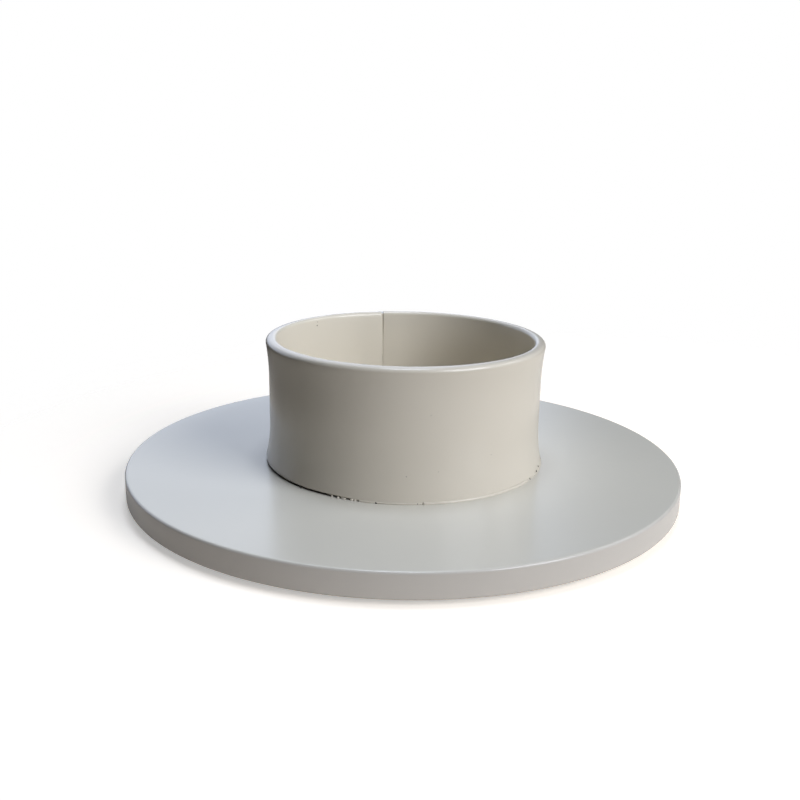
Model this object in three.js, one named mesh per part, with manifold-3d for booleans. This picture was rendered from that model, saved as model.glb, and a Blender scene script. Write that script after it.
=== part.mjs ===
// Candle holder for one pillar candle. A ring rolled from flat steel bar is welded shut, tacked from
// inside to the middle of a thick round plate, and powder-coated with it. Four rubber feet carry the
// plate. Millimetres, +Z up, with the origin at the middle of the feet, on the surface they stand on.
import * as THREE from 'three';
import { mergeVertices } from 'three/addons/utils/BufferGeometryUtils.js';
import Module from 'manifold-3d';

// The candle
const CANDLE_DIAMETER = 70;
const CANDLE_CLEARANCE = 1.15; // all round, at the narrowest height of the ring

// Plate
const PLATE_DIAMETER = 160;
const PLATE_THICKNESS = 6.9;
const PLATE_TOP_EDGE = 0.7; // edge radius
const PLATE_BOTTOM_EDGE = 0.6; // edge radius

// Ring of flat bar
const BAR_THICKNESS = 3.1;
const RING_HEIGHT = 36.2;
const RIM_FLARE = 0.93; // how far the rim stands out past the waist
const FOOT_FLARE = 1.3; // how far the foot stands out past the waist
const FLARE_HEIGHT = 12; // height over which each flare dies away
const RIM_OUTER_EDGE = 1.2; // edge radius
const RIM_INNER_EDGE = 1.1; // edge radius
const RIM_LEAN = 9; // degrees by which the rim's top slopes outwards, square to the flared wall
const FOOT_EDGE = 0.5; // edge radius
const FLAT_END_LENGTH = 5; // straight stretch that rolling leaves at each end of the bar

// Butt seam of the ring, bevelled outside for its weld
const SEAM_ANGLE = 101.4; // degrees from +X, so just left of straight behind
const SEAM_GAP = 0.5;
const SEAM_GROOVE_DEPTH = 0.8; // left open inside the ring
const SEAM_BEVEL = 35; // degrees
const SEAM_CRATER = 0.4; // how far the weld stops short of the rim

// Tack welds in the corner between ring and plate
const TACK_COUNT = 4;
const TACK_LENGTH = 11;
const TACK_LEG = 2.2;
const WELD_CLEARANCE = 0.15; // between a weld's curved or sloping faces and the bar

// Rubber feet
const FEET_COUNT = 4;
const FEET_DIAMETER = 16;
const FEET_HEIGHT = 1.6;
const FEET_TAPER = 0.5; // radius lost from the glued face to the standing face
const FEET_EDGE = 0.4; // edge radius
const FEET_INSET = 15; // from the plate's edge to the middle of a foot

// Facets
const TURN_STEPS = 96;
const FEET_STEPS = 32;
const EDGE_STEPS = 3;
const FLARE_STEPS = 3;
const TACK_STEPS = 16;
const CUT_MARGIN = 1; // how far a cutter reaches past what it cuts

// Finishes
const POWDER_COAT = { color: '#d5d0c4', roughness: 0.42, metalness: 0 };
const RUBBER = { color: '#2c2b2a', roughness: 0.8, metalness: 0 };

const plateRadius = PLATE_DIAMETER / 2;
const plateTop = FEET_HEIGHT + PLATE_THICKNESS;
const boreRadius = CANDLE_DIAMETER / 2 + CANDLE_CLEARANCE;
const waistRadius = boreRadius + BAR_THICKNESS;

const wasm = await Module();
wasm.setup();

function toSolid(geometry) {
  const bare = geometry.clone();
  bare.deleteAttribute('normal');
  bare.deleteAttribute('uv');
  const merged = mergeVertices(bare);
  const vertProperties = merged.attributes.position.array;
  const triVerts = Uint32Array.from(merged.index.array);
  return new wasm.Manifold(new wasm.Mesh({ numProp: 3, vertProperties, triVerts }));
}

function toGeometry(solid) {
  const { vertProperties, triVerts } = solid.getMesh();
  const geometry = new THREE.BufferGeometry();
  geometry.setAttribute('position', new THREE.BufferAttribute(vertProperties, 3));
  geometry.setIndex(new THREE.BufferAttribute(triVerts, 1));
  geometry.computeVertexNormals();
  return geometry;
}

function point(r, z) {
  return new THREE.Vector2(r, z);
}

// A rounded edge of a section, from one angle in degrees to another, anticlockwise
function arc(r, z, radius, from, to) {
  const start = THREE.MathUtils.degToRad(from);
  const end = THREE.MathUtils.degToRad(to);
  return new THREE.EllipseCurve(r, z, radius, radius, start, end).getPoints(EDGE_STEPS);
}

// Turns a section of (radius, height) points about the Z axis, with its first column on +X
function turn(section, steps) {
  return new THREE.LatheGeometry(section, steps, Math.PI / 2).rotateX(Math.PI / 2);
}

function prism(outline, low, high) {
  const options = { depth: high - low, bevelEnabled: false };
  return new THREE.ExtrudeGeometry(new THREE.Shape(outline), options).translate(0, 0, low);
}

// One face of the bar from foot to rim, as a section line. Rolling a flat bar leaves both of its edges
// standing out a little, so the face is straight at the waist and curls outwards at each end.
function barFace(waist, low, high) {
  const curl = Math.min(FLARE_HEIGHT, (high - low) / 2);
  const footCurl = new THREE.QuadraticBezierCurve(
    point(waist + FOOT_FLARE, low),
    point(waist, low + curl / 2),
    point(waist, low + curl),
  );
  const rimCurl = new THREE.QuadraticBezierCurve(
    point(waist, high - curl),
    point(waist, high - curl / 2),
    point(waist + RIM_FLARE, high),
  );
  return [...footCurl.getPoints(FLARE_STEPS), ...rimCurl.getPoints(FLARE_STEPS)];
}

function closed(section) {
  return [...section, section[0].clone()];
}

function ringSection() {
  const footEdge = Math.min(FOOT_EDGE, BAR_THICKNESS / 3);
  const rimOuterEdge = Math.min(RIM_OUTER_EDGE, BAR_THICKNESS * 0.4);
  const rimInnerEdge = Math.min(RIM_INNER_EDGE, BAR_THICKNESS * 0.4);
  const footOuter = waistRadius + FOOT_FLARE;
  const footInner = boreRadius + FOOT_FLARE;
  const rimOuter = waistRadius + RIM_FLARE;
  const rimInner = boreRadius + RIM_FLARE;
  const lean = THREE.MathUtils.degToRad(RIM_LEAN);
  const rimDrop = (BAR_THICKNESS - rimOuterEdge - rimInnerEdge) * Math.tan(lean);
  const innerCentre = RING_HEIGHT - rimInnerEdge;
  const outerCentre = innerCentre + (rimInnerEdge - rimOuterEdge) / Math.cos(lean) - rimDrop;
  const outerFace = barFace(waistRadius, footEdge, outerCentre);
  const innerFace = barFace(boreRadius, footEdge, innerCentre).reverse();
  return closed([
    ...arc(footOuter - footEdge, footEdge, footEdge, 270, 360).slice(0, -1),
    ...outerFace.slice(0, -1),
    ...arc(rimOuter - rimOuterEdge, outerCentre, rimOuterEdge, 0, 90 - RIM_LEAN),
    ...arc(rimInner + rimInnerEdge, innerCentre, rimInnerEdge, 90 - RIM_LEAN, 180).slice(0, -1),
    ...innerFace.slice(0, -1),
    ...arc(footInner + footEdge, footEdge, footEdge, 180, 270),
  ]);
}

// Moves the ring's wall beside the seam, which lies on +X, from its circle out to the circle's tangents
function straightenEnds(geometry) {
  const flatAngle = Math.atan(FLAT_END_LENGTH / waistRadius);
  const position = geometry.attributes.position;
  for (let i = 0; i < position.count; i += 1) {
    const angle = Math.abs(Math.atan2(position.getY(i), position.getX(i)));
    const stretch = angle < flatAngle ? 1 / Math.cos(flatAngle - angle) : 1;
    position.setXY(i, position.getX(i) * stretch, position.getY(i) * stretch);
  }
  return geometry;
}

// The joint between the bar's ends, seen from above: a narrow gap inside and a bevelled groove outside.
// The weld fills the groove with a clearance to its flanks.
function seamOutlines() {
  const slope = Math.tan(THREE.MathUtils.degToRad(SEAM_BEVEL));
  const flankClearance = WELD_CLEARANCE / Math.cos(THREE.MathUtils.degToRad(SEAM_BEVEL));
  const inside = boreRadius - CUT_MARGIN;
  const root = boreRadius + Math.min(SEAM_GROOVE_DEPTH, BAR_THICKNESS / 2);
  const outside = waistRadius + Math.max(RIM_FLARE, FOOT_FLARE) + CUT_MARGIN;
  const grooveHalf = (r) => SEAM_GAP / 2 + (r - root) * slope;
  const weldHalf = (r) => grooveHalf(r) - flankClearance;
  const weldRoot = root + WELD_CLEARANCE;
  const cut = [
    point(inside, -SEAM_GAP / 2),
    point(root, -SEAM_GAP / 2),
    point(outside, -grooveHalf(outside)),
    point(outside, grooveHalf(outside)),
    point(root, SEAM_GAP / 2),
    point(inside, SEAM_GAP / 2),
  ];
  const weld = [
    point(weldRoot, -weldHalf(weldRoot)),
    point(outside, -weldHalf(outside)),
    point(outside, weldHalf(outside)),
    point(weldRoot, weldHalf(weldRoot)),
  ];
  return { cut, weld };
}

// A short fillet weld that swells along the corner and fades out at both ends, on +X
function tackGeometry() {
  const cornerRadius = boreRadius + FOOT_FLARE;
  const bead = new THREE.SphereGeometry(1, TACK_STEPS, TACK_STEPS / 2)
    .scale(TACK_LEG, TACK_LENGTH / 2, TACK_LEG)
    .translate(cornerRadius, 0, 0);
  const wall = barFace(boreRadius - WELD_CLEARANCE, 0, RING_HEIGHT);
  const inner = cornerRadius - TACK_LEG - CUT_MARGIN;
  const corner = turn(closed([point(inner, 0), ...wall, point(inner, RING_HEIGHT)]), TURN_STEPS);
  return toGeometry(toSolid(bead).intersect(toSolid(corner)));
}

function plateGeometry() {
  const topEdge = Math.min(PLATE_TOP_EDGE, PLATE_THICKNESS / 2);
  const bottomEdge = Math.min(PLATE_BOTTOM_EDGE, PLATE_THICKNESS / 2);
  const section = [
    point(0, 0),
    ...arc(plateRadius - bottomEdge, bottomEdge, bottomEdge, 270, 360),
    ...arc(plateRadius - topEdge, PLATE_THICKNESS - topEdge, topEdge, 0, 90),
    point(CANDLE_DIAMETER / 2, PLATE_THICKNESS),
    point(0, PLATE_THICKNESS),
  ];
  return turn(section, TURN_STEPS);
}

function footGeometry() {
  const radius = FEET_DIAMETER / 2;
  const edge = Math.min(FEET_EDGE, FEET_HEIGHT / 2);
  const section = [
    point(0, 0),
    ...arc(radius - FEET_TAPER - edge, edge, edge, 270, 360),
    point(radius, FEET_HEIGHT),
    point(0, FEET_HEIGHT),
  ];
  return turn(section, FEET_STEPS);
}

function named(name, geometry, finish) {
  const mesh = new THREE.Mesh(geometry, new THREE.MeshStandardMaterial(finish));
  mesh.name = name;
  return mesh;
}

function basePlate() {
  const plate = named('base_plate', plateGeometry(), POWDER_COAT);
  plate.position.z = FEET_HEIGHT;
  return plate;
}

// Ring, seam weld and tack welds, in a frame on the plate's top with +X through the seam
function ringGroup() {
  const blank = toSolid(straightenEnds(turn(ringSection(), TURN_STEPS)));
  const { cut, weld } = seamOutlines();
  const cutter = toSolid(prism(cut, -CUT_MARGIN, RING_HEIGHT + CUT_MARGIN));
  const wedge = toSolid(prism(weld, WELD_CLEARANCE, RING_HEIGHT - SEAM_CRATER));
  const group = new THREE.Group();
  group.position.z = plateTop;
  group.rotation.z = THREE.MathUtils.degToRad(SEAM_ANGLE);
  group.add(named('candle_ring', toGeometry(blank.subtract(cutter)), POWDER_COAT));
  group.add(named('seam_weld', toGeometry(blank.intersect(wedge)), POWDER_COAT));
  for (let i = 0; i < TACK_COUNT; i += 1) {
    const tack = named(`ring_tack_weld_${i + 1}`, tackGeometry(), POWDER_COAT);
    tack.rotation.z = ((i + 0.5) * 2 * Math.PI) / TACK_COUNT;
    group.add(tack);
  }
  return group;
}

function feetGroup() {
  const group = new THREE.Group();
  for (let i = 0; i < FEET_COUNT; i += 1) {
    const angle = ((i + 0.5) * 2 * Math.PI) / FEET_COUNT;
    const foot = named(`rubber_foot_${i + 1}`, footGeometry(), RUBBER);
    foot.position.set(
      (plateRadius - FEET_INSET) * Math.cos(angle),
      (plateRadius - FEET_INSET) * Math.sin(angle),
      0,
    );
    group.add(foot);
  }
  return group;
}

const candleHolder = new THREE.Group();
candleHolder.name = 'candle_holder';
candleHolder.add(basePlate(), ringGroup(), feetGroup());

export default candleHolder;
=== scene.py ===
"""Candle holder for one pillar candle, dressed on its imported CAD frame.

A ring rolled from flat steel bar is welded shut behind, tacked from inside to the middle of a thick
round plate and powder-coated with it. Four self-adhesive rubber feet carry the plate. Metres, +Z up.
"""

import math

import bmesh
import bpy
from bpy.props import FloatProperty, FloatVectorProperty, IntProperty, PointerProperty
from mathutils import Matrix, Vector, noise


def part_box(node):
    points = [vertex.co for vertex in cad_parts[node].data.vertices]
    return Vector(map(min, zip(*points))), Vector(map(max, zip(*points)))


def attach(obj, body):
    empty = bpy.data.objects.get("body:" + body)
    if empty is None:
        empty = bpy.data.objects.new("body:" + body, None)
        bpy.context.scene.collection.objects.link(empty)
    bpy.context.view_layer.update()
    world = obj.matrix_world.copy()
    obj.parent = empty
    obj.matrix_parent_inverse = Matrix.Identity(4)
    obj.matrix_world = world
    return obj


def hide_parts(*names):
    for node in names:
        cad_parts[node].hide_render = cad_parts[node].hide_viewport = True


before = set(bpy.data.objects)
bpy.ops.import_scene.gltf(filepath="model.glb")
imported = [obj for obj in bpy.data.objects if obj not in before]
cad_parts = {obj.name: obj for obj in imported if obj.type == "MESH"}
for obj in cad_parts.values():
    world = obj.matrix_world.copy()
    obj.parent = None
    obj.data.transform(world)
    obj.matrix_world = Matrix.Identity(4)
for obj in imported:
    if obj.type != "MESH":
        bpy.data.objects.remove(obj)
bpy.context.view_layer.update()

bl_info = {
    "name": "Candle holder",
    "version": (1, 0, 0),
    "blender": (4, 5, 0),
    "location": "View3D > Sidebar > Candle holder",
    "description": "Makes a powder-coated plate with a ring for one pillar candle",
    "category": "Object",
}

MM = 0.001
BODY = "root"
IMAGE_WIDTH = 800  # pixels
SENSOR_WIDTH = 36.0  # the camera's sensor in millimetres

EDGE_STEPS = 7  # facets of a rounded edge
TURN_STEPS = 256  # facets of plate and ring round the axis
FOOT_STEPS = 64  # facets of a foot round its own axis
TACK_NODES = [f"ring_tack_weld_{i}" for i in range(1, 5)]
FOOT_NODES = [f"rubber_foot_{i}" for i in range(1, 5)]

# Kinds of node that recur
MATH = "ShaderNodeMath"
VECTOR_MATH = "ShaderNodeVectorMath"
MIX = "ShaderNodeMix"
MIX_SHADER = "ShaderNodeMixShader"
MAP_RANGE = "ShaderNodeMapRange"
NOISE = "ShaderNodeTexNoise"
BUMP = "ShaderNodeBump"
SPLIT = "ShaderNodeSeparateXYZ"
OBJECT_INFO = "GeometryNodeObjectInfo"
SWEEP = "GeometryNodeCurveToMesh"
REALIZE = "GeometryNodeRealizeInstances"
SET_MATERIAL = "GeometryNodeSetMaterial"
# A Mix node's colour sockets go by number, because others share their names.
MIX_FROM, MIX_TO, MIXED = 6, 7, 2

# Angles below are degrees from straight in front, counted towards the right.
# The joint under the ring opens over the first range of angles and closes over the second.
JOINT_OPENS = (-165, -120)
JOINT_CLOSES = (-26, -13)
# Where coat closes the joint, from angle to angle: as a full bead, and as a thin film
BEAD_RUNS = [(7.2, 58.5)]
FILM_RUNS = [(-16.4, 7.2), (58.5, 150.0), (172.0, 232.0)]
# Coat that bridges the open part of the joint: (angle, length in mm)
COAT_BRIDGES = ((-27.4, 0.7), (-24.8, 0.9), (-22.5, 1.4), (-19.2, 1.0), (-17.9, 0.7))
# Pinholes are flat dark dots: bare steel, and partly painted shade of the holes.
# Pinholes and nibs in the coat of the joint: (angle, height above the plate, width) in mm
JOINT_PINHOLES = (
    (-42.2, 0.30, 0.60),
    (-9.7, 0.15, 0.65),
    (5.4, 0.25, 0.35),
    (60.2, 0.30, 0.65),
    (68.2, 0.80, 0.65),
    (71.5, 1.50, 0.60),
    (80.0, 1.90, 0.35),
)
# The same on the ring's outer face and on its inner face
OUTER_PINHOLES = ((10.0, 23.6, 0.22), (1.2, 7.3, 0.25), (36.0, 11.1, 0.2), (13.3, 8.4, 0.18))
INNER_PINHOLES = ((-130.9, 33.6, 0.45), (-131.3, 34.7, 0.25))


def corner_distances(node):
    """Distances of a CAD node's corners from the Z axis."""
    return [corner.co.xy.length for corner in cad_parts[node].data.vertices]


def middle(node):
    """Middle of a CAD node's box."""
    low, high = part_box(node)
    return (low + high) / 2


PLATE_LOW, PLATE_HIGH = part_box("base_plate")
RING_LOW, RING_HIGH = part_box("candle_ring")
FOOT_LOW, FOOT_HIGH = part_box("rubber_foot_1")
SEAM = middle("seam_weld")


def linear(hex_colour):
    """Linear RGB of an sRGB hex colour."""
    values = [int(hex_colour[i : i + 2], 16) / 255 for i in (1, 3, 5)]
    return tuple(v / 12.92 if v <= 0.04045 else ((v + 0.055) / 1.055) ** 2.4 for v in values)


def rgba(tone):
    """Linear RGB with full alpha, of an sRGB hex colour or of a colour setting."""
    return (*(linear(tone) if isinstance(tone, str) else tone), 1.0)


def length(name, description, default):
    """A length that a user may change, in metres."""
    return FloatProperty(name=name, description=description, default=default, precision=5, unit="LENGTH")


def angle(name, description, default):
    """An angle that a user may change, from degrees."""
    turn = math.radians(default)
    return FloatProperty(name=name, description=description, default=turn, subtype="ANGLE")


def power(name, description, default):
    """A lamp's power that a user may change, in watts."""
    return FloatProperty(name=name, description=description, default=default, unit="POWER")


def colour(name, description, default):
    """A colour that a user may change, from an sRGB hex value."""
    return FloatVectorProperty(
        name=name, description=description, default=linear(default), min=0.0, max=1.0, subtype="COLOR"
    )


class PlateSettings(bpy.types.PropertyGroup):
    """Sizes of the base plate"""

    radius: length("Radius", "Plate's radius", max(corner_distances("base_plate")))
    underside: length("Underside", "Height of the plate's underside", PLATE_LOW.z)
    thickness: length("Thickness", "Plate's thickness", PLATE_HIGH.z - PLATE_LOW.z)
    top_edge: length("Top edge", "Radius of the upper edge", 0.7 * MM)
    bottom_edge: length("Bottom edge", "Radius of the lower edge", 0.6 * MM)


class RingSettings(bpy.types.PropertyGroup):
    """Sizes of the ring of flat bar"""

    bore: length("Bore radius", "Inner radius at the waist", min(corner_distances("candle_ring")))
    bar: length("Bar thickness", "Thickness of the flat bar", 3.1 * MM)
    foot: length("Foot", "Height of the ring's foot", RING_LOW.z)
    height: length("Height", "Height of the ring above the plate", RING_HIGH.z - RING_LOW.z)
    rim_flare: length("Rim flare", "How far the rim stands out past the waist", 0.93 * MM)
    foot_flare: length("Foot flare", "How far the foot stands out past the waist", 1.3 * MM)
    flare_height: length("Flare height", "Height over which a flare dies away", 12.0 * MM)
    rim_outer_edge: length("Rim outer edge", "Radius of the rim's outer edge", 1.2 * MM)
    rim_inner_edge: length("Rim inner edge", "Radius of the rim's inner edge", 1.1 * MM)
    foot_edge: length("Foot edge", "Radius of the foot's edges", 0.5 * MM)
    flat_end: length("Flat end", "Straight stretch that rolling leaves at each end", 5.0 * MM)
    seam: angle("Seam", "Angle of the butt seam from +X", math.degrees(math.atan2(SEAM.y, SEAM.x)))
    seam_gap: length("Seam gap", "Gap between the bar's ends, at half its thickness", 0.8 * MM)
    seam_step: length("Seam step", "How much higher one end stands at the rim", 0.15 * MM)
    foot_gap: length("Foot gap", "Height of the open joint under the ring", 0.45 * MM)


class WeldSettings(bpy.types.PropertyGroup):
    """Sizes of the seam weld and the tack welds"""

    groove: length("Groove", "Depth of the groove that the seam weld leaves at the rim", 0.3 * MM)
    low_groove: length("Low groove", "Depth of that groove further down, as coat fills it", 0.13 * MM)
    crown: length("Crown", "Half the width of the dressed seam weld", 1.6 * MM)
    crater: length("Crater", "How far the seam weld stops short of the rim", 0.45 * MM)
    tack_length: length("Tack length", "Length of a tack weld", 11.0 * MM)
    tack_leg: length("Tack leg", "Height and width of a tack weld", 2.2 * MM)
    ripple: length("Ripple", "Distance between the ripples of a weld", 1.1 * MM)


class FeetSettings(bpy.types.PropertyGroup):
    """Sizes of the rubber feet"""

    radius: length("Radius", "Radius at the glued face", (FOOT_HIGH.x - FOOT_LOW.x) / 2)
    height: length("Height", "Height of a foot with its adhesive", FOOT_HIGH.z - FOOT_LOW.z)
    taper: length("Taper", "Radius lost from the glued to the standing face", 0.5 * MM)
    edge: length("Edge", "Radius of the lower edge", 0.4 * MM)
    dish: length("Dish", "Depth of the hollow in the standing face", 0.2 * MM)
    adhesive: length("Adhesive", "Thickness of the adhesive layer", 0.2 * MM)


class CoatSettings(bpy.types.PropertyGroup):
    """Finish of the powder coat"""

    plate_tone: colour("Plate tone", "Colour of the coat on the plate", "#d1cdc2")
    tone: colour("Tone", "Colour of the coat on the ring", "#d6cec0")
    # The inside of the ring, and the plate within it, is painted paler: painted light.
    inside_painted_light: colour("Thick tone", "Colour inside the ring, where the coat gathers", "#d9d1c1")
    thin_tone: colour("Thin tone", "Colour where the coat is a little thinner", "#d0c8b9")
    # The plate's edge is painted darker than the rest of the coat: painted shade.
    edge_painted_shade: colour("Edge tone", "Colour on the plate's edge, where the coat draws back", "#bfbab3")
    peel: length("Orange peel", "Width of the coat's soft waves", 1.8 * MM)
    bead: length("Bead", "Radius of the bead that pools along the ring's foot", 0.5 * MM)
    film: length("Film", "Radius of the thinner coat that only closes the joint", 0.27 * MM)
    seed: IntProperty(name="Seed", description="Changes where the bead swells", default=4)


class StageSettings(bpy.types.PropertyGroup):
    """Light, floor and camera"""

    key_power: power("Key power", "Power of the large soft key lamp", 38.0)
    key_turn: angle("Key turn", "Angle of the key lamp from straight in front to the right", 54.0)
    key_rise: angle("Key rise", "Angle of the key lamp above the table", 32.0)
    key_size: length("Key size", "Width of the key lamp", 1.2)
    key_distance: length("Key distance", "Distance of the key lamp", 2.0)
    key_colour: colour("Key colour", "Colour of the key lamp", "#f4f8ff")
    side_power: power("Side power", "Power of the smaller lamp at the side", 5.4)
    side_turn: angle("Side turn", "Angle of the side lamp from straight in front to the right", 100.0)
    side_rise: angle("Side rise", "Angle of the side lamp above the table", 31.0)
    side_size: length("Side size", "Width of the side lamp", 0.7)
    side_distance: length("Side distance", "Distance of the side lamp", 2.0)
    side_colour: colour("Side colour", "Colour of the side lamp", "#f8faff")
    top_power: power("Top power", "Power of the soft lamp overhead", 3.6)
    top_turn: angle("Top turn", "Angle of the lamp overhead from straight in front to the right", 180.0)
    top_rise: angle("Top rise", "Angle of the lamp overhead above the table", 87.0)
    top_size: length("Top size", "Width of the lamp overhead", 0.3)
    top_distance: length("Top distance", "Distance of the lamp overhead", 1.0)
    top_colour: colour("Top colour", "Colour of the lamp overhead", "#e0ecff")
    back_power: power("Back power", "Power of the soft lamp low behind", 8.0)
    back_turn: angle("Back turn", "Angle of the lamp behind from straight in front to the right", 203.0)
    back_rise: angle("Back rise", "Angle of the lamp behind above the table", 7.0)
    back_size: length("Back size", "Width of the lamp behind", 1.2)
    back_distance: length("Back distance", "Distance of the lamp behind", 2.0)
    back_colour: colour("Back colour", "Colour of the lamp behind", "#f8faff")
    window_colour: colour("Window colour", "Colour of the bright wall behind, as mirrored", "#dce6fa")
    window_strength: FloatProperty(
        name="Window strength", description="Brightness of the wall behind, as mirrored", default=1.85
    )
    ambient: colour("Ambient", "Light from all round", "#141518")
    focal: FloatProperty(name="Focal length", description="Lens in pixels of the image", default=965.4)
    eye_distance: length("Eye distance", "Camera's distance in front of the axis", 272.88 * MM)
    eye_height: length("Eye height", "Camera's height above the plate's underside", 100.07 * MM)
    eye_tilt: FloatProperty(
        name="Tilt", description="Camera's downward tilt", default=0.2732, subtype="ANGLE"
    )
    eye_roll: FloatProperty(name="Roll", description="Camera's roll", default=0.0191, subtype="ANGLE")
    shift: FloatProperty(name="Shift", description="Camera's sideways shift", default=-0.00575)


class CandleHolderSettings(bpy.types.PropertyGroup):
    """All settings of the candle holder"""

    plate: PointerProperty(type=PlateSettings)
    ring: PointerProperty(type=RingSettings)
    weld: PointerProperty(type=WeldSettings)
    feet: PointerProperty(type=FeetSettings)
    coat: PointerProperty(type=CoatSettings)
    stage: PointerProperty(type=StageSettings)


def settings(context):
    """The scene's settings for the candle holder."""
    return context.scene.candle_holder


def feed(tree, node, inputs):
    """Sets a node's inputs, by name or number, or links them to a socket or to a node's first output."""
    for key, value in inputs.items():
        if isinstance(value, bpy.types.Node):
            value = value.outputs[0]
        if isinstance(value, bpy.types.NodeSocket):
            tree.links.new(value, node.inputs[key])
        else:
            node.inputs[key].default_value = value


def add(tree, kind, inputs=None, **options):
    """Adds a node with its options and feeds its inputs."""
    node = tree.nodes.new(kind)
    for name, value in options.items():
        setattr(node, name, value)
    feed(tree, node, inputs or {})
    return node


def new_material(name):
    """A new node material, with its tree, its shader and Object coordinates."""
    material = bpy.data.materials.new(name)
    material.use_nodes = True
    tree = material.node_tree
    place = add(tree, "ShaderNodeTexCoord").outputs["Object"]
    return material, tree, tree.nodes["Principled BSDF"], place


def satin_powder_coat(coat):
    """Polyester powder, sprayed and baked to a satin gloss.

    It flows out into soft waves, the orange peel, so it mirrors its surroundings blurred and a little
    uneven. Where it lies thinner, the warm grey is slightly darker in soft clouds. The plate's edge is
    painted darker, as painted shade, and the inside of the ring and the plate within it are painted
    paler, as painted light. The ring is warmer in tone than the plate.
    """
    name = "satin_powder_coat"
    if name in bpy.data.materials:
        return bpy.data.materials[name]
    material, tree, shader, place = new_material(name)
    clouds = add(tree, NOISE, {"Vector": place, "Scale": 1 / (28 * MM), "Detail": 3.0})
    tones = {0: clouds, MIX_FROM: rgba(coat.thin_tone), MIX_TO: rgba(coat.tone)}
    tone = add(tree, MIX, tones, data_type="RGBA")
    height = add(tree, SPLIT, {0: place}).outputs["Z"]
    level = add(tree, VECTOR_MATH, {0: place, 1: (1.0, 1.0, 0.0)}, operation="MULTIPLY")
    radius = add(tree, VECTOR_MATH, {0: level}, operation="LENGTH").outputs["Value"]
    top, edge, bore = PLATE_HIGH.z, PLATE_HIGH.x, settings(bpy.context).ring.bore
    # Each of these tones takes over between two heights or two radii.
    layers = (
        (coat.plate_tone, height, top + 0.1 * MM, top),
        # Darker on the plate's edge: painted shade.
        (coat.edge_painted_shade, radius, edge - 0.5 * MM, edge - 0.1 * MM),
        # Paler inside the ring and on the plate within it: painted light.
        (coat.inside_painted_light, radius, bore + 2.2 * MM, bore + 1.4 * MM),
    )
    for next_tone, measure, starts, done in layers:
        share = add(tree, MAP_RANGE, {"Value": measure, "From Min": starts, "From Max": done})
        tones = {0: share, MIX_FROM: tone.outputs[MIXED], MIX_TO: rgba(next_tone)}
        tone = add(tree, MIX, tones, data_type="RGBA")
    gloss = add(tree, NOISE, {"Vector": place, "Scale": 1 / (9 * MM), "Detail": 2.0})
    roughness = add(tree, MAP_RANGE, {"Value": gloss, "To Min": 0.2, "To Max": 0.26})
    waves = add(tree, NOISE, {"Vector": place, "Scale": 1 / coat.peel, "Detail": 2.0})
    bump = add(tree, BUMP, {"Height": waves, "Strength": 1.0, "Distance": 0.012 * MM})
    feed(
        tree,
        shader,
        {"Base Color": tone.outputs[MIXED], "Roughness": roughness, "Normal": bump, "IOR": 1.5},
    )
    return material


def bare_mild_steel():
    """Hot-rolled steel with mill scale, where powder doesn't reach: dull, blotchy, dark partly as painted
    shade.
    """
    name = "bare_mild_steel"
    if name in bpy.data.materials:
        return bpy.data.materials[name]
    material, tree, shader, place = new_material(name)
    blotches = add(tree, NOISE, {"Vector": place, "Scale": 1 / (1.5 * MM), "Detail": 4.0})
    tones = {0: blotches, MIX_FROM: rgba("#26221f"), MIX_TO: rgba("#3b3632")}
    tone = add(tree, MIX, tones, data_type="RGBA")
    bump = add(tree, BUMP, {"Height": blotches, "Strength": 0.6, "Distance": 0.02 * MM})
    feed(
        tree,
        shader,
        {"Base Color": tone.outputs[MIXED], "Roughness": 0.65, "Normal": bump, "Metallic": 0.35},
    )
    return material


def moulded_rubber():
    """Moulded black rubber: matt, slightly grey, with the fine grain of its mould."""
    material, tree, shader, place = new_material("moulded_rubber")
    grain = add(tree, NOISE, {"Vector": place, "Scale": 1 / (0.25 * MM), "Detail": 2.0})
    bloom = add(tree, NOISE, {"Vector": place, "Scale": 1 / (5 * MM), "Detail": 3.0})
    tones = {0: bloom, MIX_FROM: rgba("#242322"), MIX_TO: rgba("#343230")}
    tone = add(tree, MIX, tones, data_type="RGBA")
    roughness = add(tree, MAP_RANGE, {"Value": bloom, "To Min": 0.7, "To Max": 0.85})
    bump = add(tree, BUMP, {"Height": grain, "Strength": 0.5, "Distance": 0.02 * MM})
    feed(
        tree,
        shader,
        {"Base Color": tone.outputs[MIXED], "Roughness": roughness, "Normal": bump, "IOR": 1.52},
    )
    return material


def acrylic_adhesive():
    """Milky acrylic adhesive film: soft, slightly shiny, a little cloudy."""
    material, tree, shader, place = new_material("acrylic_adhesive")
    haze = add(tree, NOISE, {"Vector": place, "Scale": 1 / (2 * MM), "Detail": 2.0})
    tones = {0: haze, MIX_FROM: rgba("#b9b6ad"), MIX_TO: rgba("#cfccc4")}
    tone = add(tree, MIX, tones, data_type="RGBA")
    feed(tree, shader, {"Base Color": tone.outputs[MIXED], "Roughness": 0.45, "IOR": 1.47})
    return material


def background_seen(tree):
    """Socket that is 1 for rays of the camera and 0 for rays that light the object."""
    path = add(tree, "ShaderNodeLightPath").outputs
    rays = {0: path["Is Camera Ray"], 1: path["Is Transmission Ray"]}
    return add(tree, MATH, rays, operation="MAXIMUM").outputs[0]


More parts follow.
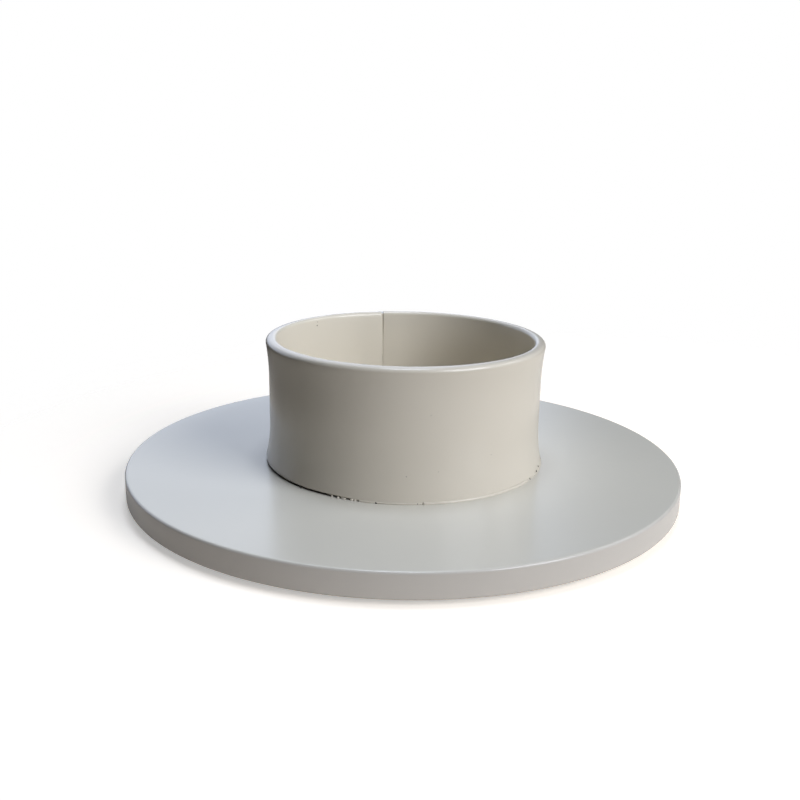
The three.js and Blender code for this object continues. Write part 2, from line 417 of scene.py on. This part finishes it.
def seamless_paper():
    """Matt cream paper, which lights the shadow side warmly and ends in a soft edge.

    The camera sees it brightened to white.
    """
    brightening = 0.42
    middle_of_sheet = (0.06, 0.0, 0.0)
    whole, gone = 0.14, 0.24  # the sheet fades away between these distances from its middle
    material, tree, shader, place = new_material("seamless_paper")
    lift = add(tree, MATH, {0: background_seen(tree), 1: brightening}, operation="MULTIPLY")
    feed(
        tree,
        shader,
        {
            "Base Color": rgba("#f1e7da"),
            "Roughness": 0.9,
            "Specular IOR Level": 0.1,
            "Emission Color": rgba("#ffffff"),
            "Emission Strength": lift,
        },
    )
    distance = add(tree, VECTOR_MATH, {0: place, 1: middle_of_sheet}, operation="DISTANCE")
    fade = add(
        tree,
        MAP_RANGE,
        {"Value": distance.outputs["Value"], "From Min": whole, "From Max": gone},
        interpolation_type="SMOOTHSTEP",
    )
    below = add(tree, "ShaderNodeNewGeometry").outputs["Backfacing"]
    clear = add(tree, MATH, {0: fade, 1: below}, operation="MAXIMUM")
    glass = add(tree, "ShaderNodeBsdfTransparent")
    blend = add(tree, MIX_SHADER, {0: clear, 1: shader, 2: glass})
    feed(tree, tree.nodes["Material Output"], {"Surface": blend})
    return material


def new_tree(name, inputs):
    """A geometry tree with named inputs, and the sockets of its group input."""
    tree = bpy.data.node_groups.new(name, "GeometryNodeTree")
    tree.interface.new_socket("Geometry", in_out="OUTPUT", socket_type="NodeSocketGeometry")
    for label, kind in inputs.items():
        tree.interface.new_socket(label, in_out="INPUT", socket_type=f"NodeSocket{kind}")
    return tree, add(tree, "NodeGroupInput").outputs


def rolled_ring_tree():
    """Sweeps a bar's section round a circle that is open at the seam and straight beside it."""
    underside = -0.8  # a face whose normal points down further than this is the bar's underside
    tree, given = new_tree(
        "rolled_ring",
        {
            "Section": "Object",
            "Radius": "Float",
            "Seam Angle": "Float",
            "Seam Gap": "Float",
            "Flat End": "Float",
            "Steps": "Int",
            "Coat": "Material",
            "Steel": "Material",
        },
    )
    radius = given["Radius"]
    gap_angle = add(tree, MATH, {0: given["Seam Gap"], 1: radius}, operation="DIVIDE")
    flat_angle = add(tree, MATH, {0: given["Flat End"], 1: radius}, operation="DIVIDE")
    start = add(tree, MATH, {0: gap_angle, 1: 0.5, 2: given["Seam Angle"]}, operation="MULTIPLY_ADD")
    sweep = add(tree, MATH, {0: 2 * math.pi, 1: gap_angle}, operation="SUBTRACT")
    circle = add(
        tree,
        "GeometryNodeCurveArc",
        {"Resolution": given["Steps"], "Radius": radius, "Start Angle": start, "Sweep Angle": sweep},
    )
    along = add(tree, "GeometryNodeSplineParameter").outputs["Factor"]
    back = add(tree, MATH, {0: 1.0, 1: along}, operation="SUBTRACT")
    nearest = add(tree, MATH, {0: along, 1: back}, operation="MINIMUM")
    from_end = add(tree, MATH, {0: nearest, 1: sweep}, operation="MULTIPLY")
    bend = add(tree, MATH, {0: flat_angle, 1: from_end}, operation="SUBTRACT")
    clipped = add(tree, MATH, {0: bend, 1: 0.0}, operation="MAXIMUM")
    cosine = add(tree, MATH, {0: clipped}, operation="COSINE")
    stretch = add(tree, MATH, {0: 1.0, 1: cosine}, operation="DIVIDE")
    place = add(tree, "GeometryNodeInputPosition")
    straightened = add(tree, VECTOR_MATH, {0: place, "Scale": stretch}, operation="SCALE")
    path = add(tree, "GeometryNodeSetPosition", {"Geometry": circle, "Position": straightened})
    section = add(tree, OBJECT_INFO, {"Object": given["Section"]}).outputs["Geometry"]
    # A sweep on a level path hangs its section head down, so the section is turned over first.
    upright = add(tree, "GeometryNodeTransform", {"Geometry": section, "Rotation": (math.pi, 0.0, 0.0)})
    wall = add(tree, SWEEP, {"Curve": path, "Profile Curve": upright, "Fill Caps": True})
    real = add(tree, REALIZE, {"Geometry": wall})
    coated = add(tree, SET_MATERIAL, {"Geometry": real, "Material": given["Coat"]})
    normal = add(tree, "GeometryNodeInputNormal").outputs["Normal"]
    facing = add(tree, SPLIT, {0: normal}).outputs["Z"]
    down = add(tree, MATH, {0: facing, 1: underside}, operation="LESS_THAN")
    # The bar's underside gets dark bare steel, which is also painted shade that deepens the open joint
    # under the foot.
    shaded_steel = add(tree, SET_MATERIAL, {"Geometry": coated, "Selection": down, "Material": given["Steel"]})
    add(tree, "NodeGroupOutput", {0: shaded_steel})
    return tree


def bead_tree():
    """Sweeps a section along paths of edges: a weld or coat bead, rippled, uneven, fading at its ends."""
    name = "bead_along_path"
    if name in bpy.data.node_groups:
        return bpy.data.node_groups[name]
    tip = 0.02  # share of its size that a bead keeps at its very ends
    tree, given = new_tree(
        name,
        {
            "Geometry": "Geometry",
            "Section": "Object",
            "Section Up": "Vector",
            "Step": "Float",
            "Ripple": "Float",
            "Ripple Depth": "Float",
            "Swell": "Float",
            "Swell Depth": "Float",
            "Fade": "Float",
            "Seed": "Int",
            "Material": "Material",
        },
    )
    edges = add(tree, "GeometryNodeMeshToCurve", {"Mesh": given["Geometry"]})
    path = add(
        tree, "GeometryNodeResampleCurve", {"Curve": edges, "Length": given["Step"]}, mode="LENGTH"
    )
    turned = add(
        tree, "GeometryNodeSetCurveNormal", {"Curve": path, "Normal": given["Section Up"]}, mode="FREE"
    )
    along = add(tree, "GeometryNodeSplineParameter").outputs["Length"]
    whole = add(tree, "GeometryNodeSplineLength").outputs["Length"]
    phase = add(tree, MATH, {0: along, 1: given["Ripple"]}, operation="DIVIDE")
    cycle = add(tree, MATH, {0: phase, 1: 2 * math.pi}, operation="MULTIPLY")
    wave = add(tree, MATH, {0: cycle}, operation="SINE")
    rippled = add(tree, MATH, {0: wave, 1: given["Ripple Depth"], 2: 1.0}, operation="MULTIPLY_ADD")
    fineness = add(tree, MATH, {0: 1.0, 1: given["Swell"]}, operation="DIVIDE")
    place = add(tree, "GeometryNodeInputPosition")
    lumps = add(
        tree,
        NOISE,
        {"Vector": place, "W": given["Seed"], "Scale": fineness, "Detail": 2.0},
        noise_dimensions="4D",
    )
    centred = add(tree, MATH, {0: lumps, 1: 0.5}, operation="SUBTRACT")
    swollen = add(tree, MATH, {0: centred, 1: given["Swell Depth"], 2: rippled}, operation="MULTIPLY_ADD")
    rest = add(tree, MATH, {0: whole, 1: along}, operation="SUBTRACT")
    from_end = add(tree, MATH, {0: along, 1: rest}, operation="MINIMUM")
    ratio = add(
        tree,
        MAP_RANGE,
        {"Value": from_end, "From Max": given["Fade"], "To Min": tip, "To Max": math.pi / 2},
    )
    rounded_end = add(tree, MATH, {0: ratio}, operation="SINE")
    scale = add(tree, MATH, {0: swollen, 1: rounded_end}, operation="MULTIPLY")
    section = add(tree, OBJECT_INFO, {"Object": given["Section"]}).outputs["Geometry"]
    bead = add(
        tree, SWEEP, {"Curve": turned, "Profile Curve": section, "Scale": scale, "Fill Caps": True}
    )
    real = add(tree, REALIZE, {"Geometry": bead})
    dressed = add(tree, SET_MATERIAL, {"Geometry": real, "Material": given["Material"]})
    add(tree, "NodeGroupOutput", {0: dressed})
    return tree


def placed_items_tree():
    """Puts an item on each point, along the point's facing and at the point's size."""
    name = "placed_items"
    if name in bpy.data.node_groups:
        return bpy.data.node_groups[name]
    tree, given = new_tree(
        name, {"Geometry": "Geometry", "Item": "Object", "Seed": "Int", "Material": "Material"}
    )
    facing = add(tree, "GeometryNodeInputNamedAttribute", {"Name": "facing"}, data_type="FLOAT_VECTOR")
    size = add(tree, "GeometryNodeInputNamedAttribute", {"Name": "size"}, data_type="FLOAT")
    spin = add(
        tree,
        "FunctionNodeRandomValue",
        {"Min": (0.0, 0.0, 0.0), "Max": (0.0, 0.0, 2 * math.pi), "Seed": given["Seed"]},
        data_type="FLOAT_VECTOR",
    )
    spun = add(tree, "FunctionNodeEulerToRotation", {0: spin})
    aligned = add(
        tree, "FunctionNodeAlignRotationToVector", {"Rotation": spun, "Vector": facing}, axis="Z"
    )
    item = add(tree, OBJECT_INFO, {"Object": given["Item"]}).outputs["Geometry"]
    placed = add(
        tree,
        "GeometryNodeInstanceOnPoints",
        {"Points": given["Geometry"], "Instance": item, "Rotation": aligned, "Scale": size},
    )
    real = add(tree, REALIZE, {"Geometry": placed})
    dressed = add(tree, SET_MATERIAL, {"Geometry": real, "Material": given["Material"]})
    add(tree, "NodeGroupOutput", {0: dressed})
    return tree


def linked(name, data):
    """A new object in the scene."""
    obj = bpy.data.objects.new(name, data)
    bpy.context.scene.collection.objects.link(obj)
    return obj


def outline_object(name, points):
    """A closed outline as a helper curve for a tree to sweep."""
    curve = bpy.data.curves.new(name, "CURVE")
    curve.dimensions = "3D"
    spline = curve.splines.new("POLY")
    spline.points.add(len(points) - 1)
    spline.points.foreach_set("co", [value for x, y in points for value in (x, y, 0.0, 1.0)])
    spline.use_cyclic_u = True
    return linked(name, curve)


def grown(name, tree, inputs, start=None):
    """A new object with the plain mesh that a tree makes. Helpers among the inputs are removed."""
    obj = linked(name, start or bpy.data.meshes.new(name))
    modifier = obj.modifiers.new(tree.name, "NODES")
    modifier.node_group = tree
    for item in tree.interface.items_tree:
        if item.in_out == "INPUT" and item.name in inputs:
            modifier[item.identifier] = inputs[item.name]
    graph = bpy.context.evaluated_depsgraph_get()
    mesh = bpy.data.meshes.new_from_object(obj.evaluated_get(graph), depsgraph=graph)
    obj.modifiers.clear()
    obj.data = mesh
    for helper in inputs.values():
        if isinstance(helper, bpy.types.Object):
            bpy.data.objects.remove(helper)
    return obj


def closed_and_smooth(mesh, sharp=35):
    """Merges doubles, turns faces outwards and shades the mesh smooth up to an angle in degrees."""
    shape = bmesh.new()
    shape.from_mesh(mesh)
    bmesh.ops.remove_doubles(shape, verts=shape.verts, dist=0.001 * MM)
    bmesh.ops.recalc_face_normals(shape, faces=shape.faces)
    shape.to_mesh(mesh)
    shape.free()
    mesh.shade_smooth()
    mesh.set_sharp_from_angle(angle=math.radians(sharp))


def turned_mesh(name, section, steps):
    """A section of (radius, height) points turned about the Z axis. It starts and ends on the axis."""
    shape = bmesh.new()
    corners = [shape.verts.new((radius, 0.0, height)) for radius, height in section]
    edges = [shape.edges.new(pair) for pair in zip(corners, corners[1:])]
    bmesh.ops.spin(
        shape, geom=corners + edges, axis=(0, 0, 1), cent=(0, 0, 0), angle=2 * math.pi, steps=steps
    )
    mesh = bpy.data.meshes.new(name)
    shape.to_mesh(mesh)
    shape.free()
    closed_and_smooth(mesh)
    return mesh


def points_mesh(name, marks):
    """Points with the facing and size that placed_items reads, from (place, facing, size) marks."""
    mesh = bpy.data.meshes.new(name)
    mesh.from_pydata([place for place, _, _ in marks], [], [])
    facing = mesh.attributes.new("facing", "FLOAT_VECTOR", "POINT")
    facing.data.foreach_set("vector", [value for _, vector, _ in marks for value in vector])
    size = mesh.attributes.new("size", "FLOAT", "POINT")
    size.data.foreach_set("value", [value for _, _, value in marks])
    return mesh


def paths_mesh(name, paths):
    """Separate runs of edges through lists of points."""
    points = [point for path in paths for point in path]
    edges = []
    first = 0
    for path in paths:
        edges += [(i, i + 1) for i in range(first, first + len(path) - 1)]
        first += len(path)
    mesh = bpy.data.meshes.new(name)
    mesh.from_pydata(points, edges, [])
    return mesh


def quarter_round(x, y, radius, start):
    """A rounded edge of a section about (x, y), anticlockwise from an angle in degrees."""
    turns = [math.radians(start + 90 * i / EDGE_STEPS) for i in range(EDGE_STEPS + 1)]
    return [(x + radius * math.cos(turn), y + radius * math.sin(turn)) for turn in turns]


def around(radius, degrees, height):
    """A point round the axis, at an angle from straight in front towards the right."""
    turn = math.radians(degrees)
    return Vector((radius * math.sin(turn), -radius * math.cos(turn), height))


def smooth(value, low, high):
    """Rises smoothly from 0 at low to 1 at high."""
    ratio = min(max((value - low) / (high - low), 0.0), 1.0)
    return ratio * ratio * (3 - 2 * ratio)


def flare(ring, height):
    """How far the bar stands out past its waist at a height above the plate."""
    foot = max(0.0, 1 - height / ring.flare_height)
    rim = max(0.0, 1 - (ring.height - height) / ring.flare_height)
    return ring.foot_flare * foot**2 + ring.rim_flare * rim**2


def lean(ring, height):
    """Slope of the wall where it flares to the rim, which lies square to it and so falls outwards."""
    rim = max(0.0, 1 - (ring.height - height) / ring.flare_height)
    return 2 * ring.rim_flare / ring.flare_height * rim


def bar_section(ring):
    """Outline of the bar: distance from the middle of its wall at the waist, and height."""
    half = ring.bar / 2
    top = ring.height
    foot, outer, inner = ring.foot_edge, ring.rim_outer_edge, ring.rim_inner_edge
    steps = 24
    rise = [top * i / steps for i in range(2, steps - 1)]  # heights between the rounded edges
    outline = [
        *quarter_round(half - foot, foot, foot, 270),
        *[(half, height) for height in rise],
        *quarter_round(half - outer, top - outer, outer, 0),
        *quarter_round(inner - half, top - inner, inner, 90),
        *[(-half, height) for height in reversed(rise)],
        *quarter_round(foot - half, foot, foot, 180),
    ]
    return [
        (x + flare(ring, height), ring.foot + height - (x + half) * lean(ring, height))
        for x, height in reversed(outline)
    ]


def settle_ring(mesh, ring):
    """Bends the ring as welding left it: open under its foot at the left, a step at the seam's rim."""
    lifted = 5 * MM  # height over which the lift of the foot dies away
    levelled = 9 * MM  # length over which the step at the seam dies away
    for corner in mesh.vertices:
        height = corner.co.z - ring.foot
        turn = math.degrees(math.atan2(corner.co.x, -corner.co.y))
        open_joint = smooth(turn, *JOINT_OPENS) * (1 - smooth(turn, *JOINT_CLOSES))
        corner.co.z += ring.foot_gap * open_joint * (1 - smooth(height, 0, lifted))
        past_seam = (math.atan2(corner.co.y, corner.co.x) - ring.seam) * ring.bore
        if past_seam > 0:
            low_end = 1 - smooth(past_seam, 0, levelled)
            corner.co.z -= ring.seam_step * low_end * smooth(height, 0, ring.height)


def laid_bead(name, section, paths, sizes):
    """A coated bead with a section, laid along paths with the other inputs of bead_tree."""
    outline = outline_object(f"{name}_section", section)
    coat = satin_powder_coat(settings(bpy.context).coat)
    inputs = {"Section": outline, "Material": coat, **sizes}
    return grown(name, bead_tree(), inputs, paths_mesh(f"{name}_paths", paths))


def keep(obj, slot, *nodes):
    """Makes an object a piece of the holder: what it rides on, the CAD nodes it replaces. The slot is not
    used.
    """
    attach(obj, BODY)
    if nodes:
        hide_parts(*nodes)


class MakePlate(bpy.types.Operator):
    """Turn the thick round plate with its rounded edges"""

    bl_idname = "candle_holder.make_plate"
    bl_label = "Base plate"

    def execute(self, context):
        plate = settings(context).plate
        low, high = plate.underside, plate.underside + plate.thickness
        top, bottom = plate.top_edge, plate.bottom_edge
        border = 0.5 * MM  # narrow band that keeps the shading of the flat faces flat
        section = [
            (0.0, low),
            (plate.radius - bottom - border, low),
            *quarter_round(plate.radius - bottom, low + bottom, bottom, 270),
            (plate.radius, low + bottom + border),
            (plate.radius, high - top - border),
            *quarter_round(plate.radius - top, high - top, top, 0),
            (plate.radius - top - border, high),
            (0.0, high),
        ]
        mesh = turned_mesh("base_plate_coated", section, TURN_STEPS)
        mesh.materials.append(satin_powder_coat(settings(context).coat))
        keep(linked("base_plate_coated", mesh), "powder_coat", "base_plate")
        return {"FINISHED"}


class MakeRing(bpy.types.Operator):
    """Roll the ring of flat bar, open at its seam"""

    bl_idname = "candle_holder.make_ring"
    bl_label = "Candle ring"

    def execute(self, context):
        ring = settings(context).ring
        obj = grown(
            "candle_ring_rolled",
            rolled_ring_tree(),
            {
                "Section": outline_object("bar_section", bar_section(ring)),
                "Radius": ring.bore + ring.bar / 2,
                "Seam Angle": ring.seam,
                "Seam Gap": ring.seam_gap,
                "Flat End": ring.flat_end,
                "Steps": TURN_STEPS,
                "Coat": satin_powder_coat(settings(context).coat),
                "Steel": bare_mild_steel(),
            },
        )
        settle_ring(obj.data, ring)
        closed_and_smooth(obj.data)
        keep(obj, "powder_coat", "candle_ring")
        return {"FINISHED"}


class MakeSeamWeld(bpy.types.Operator):
    """Lay the weld that closes the seam from outside and is ground down"""

    bl_idname = "candle_holder.make_seam_weld"
    bl_label = "Seam weld"

    def execute(self, context):
        ring, weld = settings(context).ring, settings(context).weld
        bend = ring.flat_end / (ring.bore + ring.bar / 2)
        wall = (ring.bore + ring.bar / 2) / math.cos(bend)
        outside = wall + ring.bar / 2 * math.cos(bend)
        out = Vector((math.cos(ring.seam), math.sin(ring.seam), 0.0))
        bottom, top = 0.1 * MM, ring.height - weld.crater
        steps = 40
        heights = [bottom + (top - bottom) * i / steps for i in range(steps + 1)]
        path = [out * (outside + flare(ring, h)) + Vector((0, 0, ring.foot + h)) for h in heights]
        root = weld.groove - ring.bar
        drop = weld.crown * math.tan(bend)
        sunk, proud = 0.06 * MM, 0.02 * MM  # how low grinding left the weld's sides, how high its middle
        section = [
            (root, -ring.seam_gap / 2),
            (-drop - sunk, -weld.crown),
            (-drop / 2 + proud / 2, -weld.crown / 2),
            (proud, 0.0),
            (-drop / 2 + proud / 2, weld.crown / 2),
            (-drop - sunk, weld.crown),
            (root, ring.seam_gap / 2),
        ]
        obj = laid_bead(
            "seam_weld_dressed",
            section,
            [path],
            {
                "Section Up": tuple(out),
                "Step": 0.25 * MM,
                "Ripple": weld.ripple,
                "Ripple Depth": 0.01,
                "Swell": 4.0 * MM,
                "Swell Depth": 0.04,
                "Fade": 0.05 * MM,
                "Seed": 1,
            },
        )
        # Coat fills the groove inside the ring, and leaves it open only towards the rim.
        filled, empty = 0.65 * ring.height, 0.95 * ring.height
        for corner in obj.data.vertices:
            height = corner.co.z - ring.foot
            if corner.co.dot(out) < wall + flare(ring, height):
                open_part = smooth(height, filled, empty)
                corner.co -= out * (weld.groove - weld.low_groove) * (1 - open_part)
        closed_and_smooth(obj.data, sharp=60)
        keep(obj, "powder_coat", "seam_weld")
        return {"FINISHED"}


class MakeTackWelds(bpy.types.Operator):
    """Lay the rippled tacks in the corner inside the ring"""

    bl_idname = "candle_holder.make_tack_welds"
    bl_label = "Tack welds"

    def execute(self, context):
        ring, weld = settings(context).ring, settings(context).weld
        radius = ring.bore + ring.foot_flare
        reach = weld.tack_length / 2 / radius
        half_steps = 12
        paths = []
        for node in TACK_NODES:
            place = middle(node)
            turn = math.atan2(place.y, place.x)
            turns = [turn + reach * (i / half_steps - 1) for i in range(2 * half_steps + 1)]
            paths.append([(radius * math.cos(a), radius * math.sin(a), ring.foot) for a in turns])
        leg = weld.tack_leg
        sunk = 0.4 * MM  # how far the weld reaches into ring and plate
        flatness = 1.5  # shape of the weld's face: 1 is round, 2 is flat
        facets = 10
        bulge = [math.radians(90 * i / facets) for i in range(facets + 1)]
        section = [
            (-sunk, sunk),
            *[(leg * math.cos(a) ** flatness, -leg * math.sin(a) ** flatness) for a in bulge],
        ]
        obj = laid_bead(
            "ring_tack_welds",
            section,
            paths,
            {
                "Section Up": (0.0, 0.0, 1.0),
                "Step": 0.12 * MM,
                "Ripple": weld.ripple,
                "Ripple Depth": 0.06,
                "Swell": 3.0 * MM,
                "Swell Depth": 0.3,
                "Fade": 2.2 * MM,
                "Seed": 2,
            },
        )
        closed_and_smooth(obj.data, sharp=50)
        keep(obj, "powder_coat", *TACK_NODES)
        return {"FINISHED"}


class MakeFeet(bpy.types.Operator):
    """Mould the rubber feet and stick them under the plate"""

    bl_idname = "candle_holder.make_feet"
    bl_label = "Rubber feet"

    def execute(self, context):
        feet = settings(context).feet
        glued = feet.height - feet.adhesive
        chamfer = 0.1 * MM
        rim = feet.radius - feet.taper - 1.0 * MM  # radius at which the hollow starts
        slope = 1.2 * MM  # width of the slope into the hollow
        foot_section = [
            (0.0, feet.dish),
            (rim - slope, feet.dish),
            (rim - slope * 2 / 3, feet.dish * 0.85),
            (rim - slope / 6, feet.dish * 0.1),
            (rim, 0.0),
            *quarter_round(feet.radius - feet.taper - feet.edge, feet.edge, feet.edge, 270),
            (feet.radius, glued - chamfer),
            (feet.radius - chamfer, glued),
            (0.0, glued),
        ]
        film = feet.radius - 0.3 * MM  # the film ends a little inside the foot's edge
        film_section = [(0.0, glued), (film, glued), (film, feet.height), (0.0, feet.height)]
        places = [middle(node) for node in FOOT_NODES]
        marks = [(Vector((place.x, place.y, 0.0)), Vector((0, 0, 1)), 1.0) for place in places]
        layers = (
            ("rubber_feet", foot_section, moulded_rubber(), FOOT_NODES),
            ("foot_adhesive", film_section, acrylic_adhesive(), []),
        )
        for name, section, material, nodes in layers:
            item = linked(f"{name}_item", turned_mesh(f"{name}_item", section, FOOT_STEPS))
            obj = grown(
                name,
                placed_items_tree(),
                {"Item": item, "Seed": 5, "Material": material},
                points_mesh(f"{name}_places", marks),
            )
            closed_and_smooth(obj.data)
            keep(obj, "rubber", *nodes)
        return {"FINISHED"}


class MakeCoatBead(bpy.types.Operator):
    """Pool the powder coat along the joint between ring and plate"""

    bl_idname = "candle_holder.make_coat_bead"
    bl_label = "Coat bead"

    def execute(self, context):
        ring, coat = settings(context).ring, settings(context).coat
        bridges = []
        for turn, width in COAT_BRIDGES:
            half = math.degrees(width * MM / 2 / (ring.bore + ring.bar))
            bridges.append((turn - half, turn + half))
        self.pool("coat_bead", coat.bead, BEAD_RUNS)
        self.pool("coat_film", coat.film, FILM_RUNS + bridges)
        return {"FINISHED"}

    def pool(self, name, size, runs):
        """Let the coat run along the joint, from angle to angle, as a round bead of one radius."""
        ring, coat = settings(bpy.context).ring, settings(bpy.context).coat
        # The bead's middle lies inside the foot's outer face and above the plate.
        inset, rise = 0.12 * MM, 0.18 * MM
        radius = ring.bore + ring.bar + ring.foot_flare - inset
        fewest = 5  # points of the shortest run
        paths = []
        for first, last in runs:
            count = max(fewest, round(last - first))
            turns = [first + (last - first) * i / (count - 1) for i in range(count)]
            paths.append([around(radius, turn, ring.foot + rise) for turn in turns])
        facets = 12
        ring_of_points = [math.radians(360 * i / facets) for i in range(facets)]
        section = [(size * math.cos(a), size * math.sin(a)) for a in ring_of_points]
        obj = laid_bead(
            name,
            section,
            paths,
            {
                "Section Up": (0.0, 0.0, 1.0),
                "Step": 0.2 * MM,
                "Ripple": 1.0,
                "Ripple Depth": 0.0,
                "Swell": 3.5 * MM,
                "Swell Depth": 0.9,
                "Fade": size,
                "Seed": coat.seed,
            },
        )
        closed_and_smooth(obj.data, sharp=60)
        keep(obj, "powder_coat")


class MakePinholes(bpy.types.Operator):
    """Place the pinholes and nibs of the coat: flat dots of bare steel, their dark partly painted shade
    """

    bl_idname = "candle_holder.make_pinholes"
    bl_label = "Pinholes"

    def execute(self, context):
        ring, coat = settings(context).ring, settings(context).coat
        waist = ring.bore + ring.bar
        # The coat of the joint stands out past the ring's foot, falls back with height and faces upwards.
        proud, fall, upwards = 0.12 * MM, 0.1, 0.5
        marks = []
        for turn, height, width in JOINT_PINHOLES:
            radius = waist + ring.foot_flare + proud - fall * height * MM
            place = around(radius, turn, ring.foot + height * MM)
            marks.append((place, around(1, turn, upwards), width * MM / 2))
        for spots, radius, side in ((OUTER_PINHOLES, waist, 1), (INNER_PINHOLES, ring.bore, -1)):
            for turn, height, width in spots:
                place = around(radius + flare(ring, height * MM), turn, ring.foot + height * MM)
                marks.append((place, around(side, turn, 0), width * MM / 2))
        item = linked("pinhole_item", pinhole_mesh())
        obj = grown(
            "coat_pinholes",
            placed_items_tree(),
            {"Item": item, "Seed": coat.seed, "Material": bare_mild_steel()},
            points_mesh("pinhole_places", marks),
        )
        closed_and_smooth(obj.data, sharp=80)
        keep(obj, "powder_coat")
        return {"FINISHED"}


def pinhole_mesh():
    """A flat, uneven dot about 2 m across, for placed_items to bring to its size."""
    size, unevenness, lumps, flatness = 0.85, 0.35, 1.3, 0.25
    shape = bmesh.new()
    bmesh.ops.create_icosphere(shape, subdivisions=2, radius=1.0)
    for corner in shape.verts:
        corner.co *= size + unevenness * noise.noise(corner.co * lumps)
        corner.co.z *= flatness
    mesh = bpy.data.meshes.new("pinhole_item")
    shape.to_mesh(mesh)
    shape.free()
    return mesh


class MakeStage(bpy.types.Operator):
    """Set the paper floor, the lamps, the world and the camera"""

    bl_idname = "candle_holder.make_stage"
    bl_label = "Stage"

    def execute(self, context):
        stage = settings(context).stage
        context.scene.view_settings.view_transform = "Standard"
        self.lay_floor()
        lamps = [self.hang_lamp(name, stage) for name in ("key", "side", "top", "back")]
        # The lamp behind only lightens the ring's back: the coat doesn't mirror it.
        lamps[-1].visible_glossy = False
        self.light_world(context, stage)
        self.set_camera(context, stage)
        return {"FINISHED"}

    def lay_floor(self):
        """Lay the paper under the holder."""
        shape = bmesh.new()
        bmesh.ops.create_circle(shape, cap_ends=True, radius=0.8, segments=96)
        mesh = bpy.data.meshes.new("paper_floor")
        shape.to_mesh(mesh)
        shape.free()
        mesh.materials.append(seamless_paper())
        linked("paper_floor", mesh)

    def hang_lamp(self, name, stage):
        """Hang a soft lamp that shines on the holder and isn't seen itself."""
        keys = ("power", "size", "colour", "turn", "rise", "distance")
        watts, size, tint, turn, rise, distance = (getattr(stage, f"{name}_{key}") for key in keys)
        lamp = bpy.data.lights.new(f"{name}_softbox", "AREA")
        lamp.shape = "SQUARE"
        lamp.energy = watts
        lamp.size = size
        lamp.color = tint
        place = around(distance * math.cos(rise), math.degrees(turn), distance * math.sin(rise))
        obj = linked(lamp.name, lamp)
        obj.location = place
        obj.rotation_euler = (-place).to_track_quat("-Z", "Y").to_euler()
        obj.visible_camera = False
        return obj

    def light_world(self, context, stage):
        """Light the world: dim all round, white to the camera, a bright wall for the coat to mirror."""
        world = bpy.data.worlds.new("studio")
        world.use_nodes = True
        context.scene.world = world
        tree = world.node_tree
        light = tree.nodes["Background"]
        feed(tree, light, {"Color": rgba(stage.ambient)})
        window = add(
            tree,
            "ShaderNodeBackground",
            {"Color": rgba(stage.window_colour), "Strength": stage.window_strength},
        )
        white = add(tree, "ShaderNodeBackground", {"Color": rgba("#ffffff"), "Strength": 1.0})
        way = add(tree, SPLIT, {0: add(tree, "ShaderNodeTexCoord").outputs["Generated"]})
        # The coat mirrors a bright wall behind the holder, which ends a little to the right of it.
        # Each of its edges fades in between two values of the way that a ray goes.
        edges = (
            ("X", 0.22, 0.06, "SMOOTHSTEP"),
            ("Y", 0.0, 0.3, "SMOOTHSTEP"),
            ("Z", 0.0, 0.12, "LINEAR"),
        )
        wall = add(tree, "ShaderNodeLightPath").outputs["Is Glossy Ray"]
        for axis, starts, done, fade in edges:
            limits = {"Value": way.outputs[axis], "From Min": starts, "From Max": done}
            share = add(tree, MAP_RANGE, limits, interpolation_type=fade)
            wall = add(tree, MATH, {0: wall, 1: share}, operation="MULTIPLY")
        lit = add(tree, MIX_SHADER, {0: wall, 1: light, 2: window})
        blend = add(tree, MIX_SHADER, {0: background_seen(tree), 1: lit, 2: white})
        feed(tree, tree.nodes["World Output"], {"Surface": blend})

    def set_camera(self, context, stage):
        """Set the camera where the photograph was taken from."""
        lens = bpy.data.cameras.new("camera")
        lens.sensor_width = SENSOR_WIDTH
        lens.lens = stage.focal / IMAGE_WIDTH * SENSOR_WIDTH
        lens.shift_x = stage.shift
        camera = linked("camera", lens)
        place = Vector((0.0, -stage.eye_distance, PLATE_LOW.z + stage.eye_height))
        tilt = Matrix.Rotation(math.pi / 2 - stage.eye_tilt, 4, "X")
        roll = Matrix.Rotation(stage.eye_roll, 4, "Z")
        camera.matrix_world = Matrix.Translation(place) @ tilt @ roll
        context.scene.camera = camera


OPERATORS = (
    MakePlate,
    MakeRing,
    MakeSeamWeld,
    MakeTackWelds,
    MakeFeet,
    MakeCoatBead,
    MakePinholes,
    MakeStage,
)


class CandleHolderPanel(bpy.types.Panel):
    """Settings and steps of the candle holder"""

    bl_idname = "VIEW3D_PT_candle_holder"
    bl_label = "Candle holder"
    bl_space_type = "VIEW_3D"
    bl_region_type = "UI"
    bl_category = "Candle holder"

    def draw(self, context):
        for name in CandleHolderSettings.__annotations__:
            group = getattr(settings(context), name)
            box = self.layout.box()
            box.label(text=name.capitalize())
            for key in group.__annotations__:
                box.prop(group, key)
        for operator in OPERATORS:
            self.layout.operator(operator.bl_idname)


CLASSES = (
    PlateSettings,
    RingSettings,
    WeldSettings,
    FeetSettings,
    CoatSettings,
    StageSettings,
    CandleHolderSettings,
    *OPERATORS,
    CandleHolderPanel,
)


def register():
    """Registers the classes and the scene's settings."""
    for cls in CLASSES:
        bpy.utils.register_class(cls)
    bpy.types.Scene.candle_holder = PointerProperty(type=CandleHolderSettings)


def unregister():
    """Removes the scene's settings and the classes."""
    del bpy.types.Scene.candle_holder
    for cls in reversed(CLASSES):
        bpy.utils.unregister_class(cls)


def main():
    register()
    bpy.ops.candle_holder.make_plate()
    bpy.ops.candle_holder.make_ring()
    bpy.ops.candle_holder.make_seam_weld()
    bpy.ops.candle_holder.make_tack_welds()
    bpy.ops.candle_holder.make_feet()
    bpy.ops.candle_holder.make_coat_bead()
    bpy.ops.candle_holder.make_pinholes()
    bpy.ops.candle_holder.make_stage()


if __name__ == "__main__":
    main()
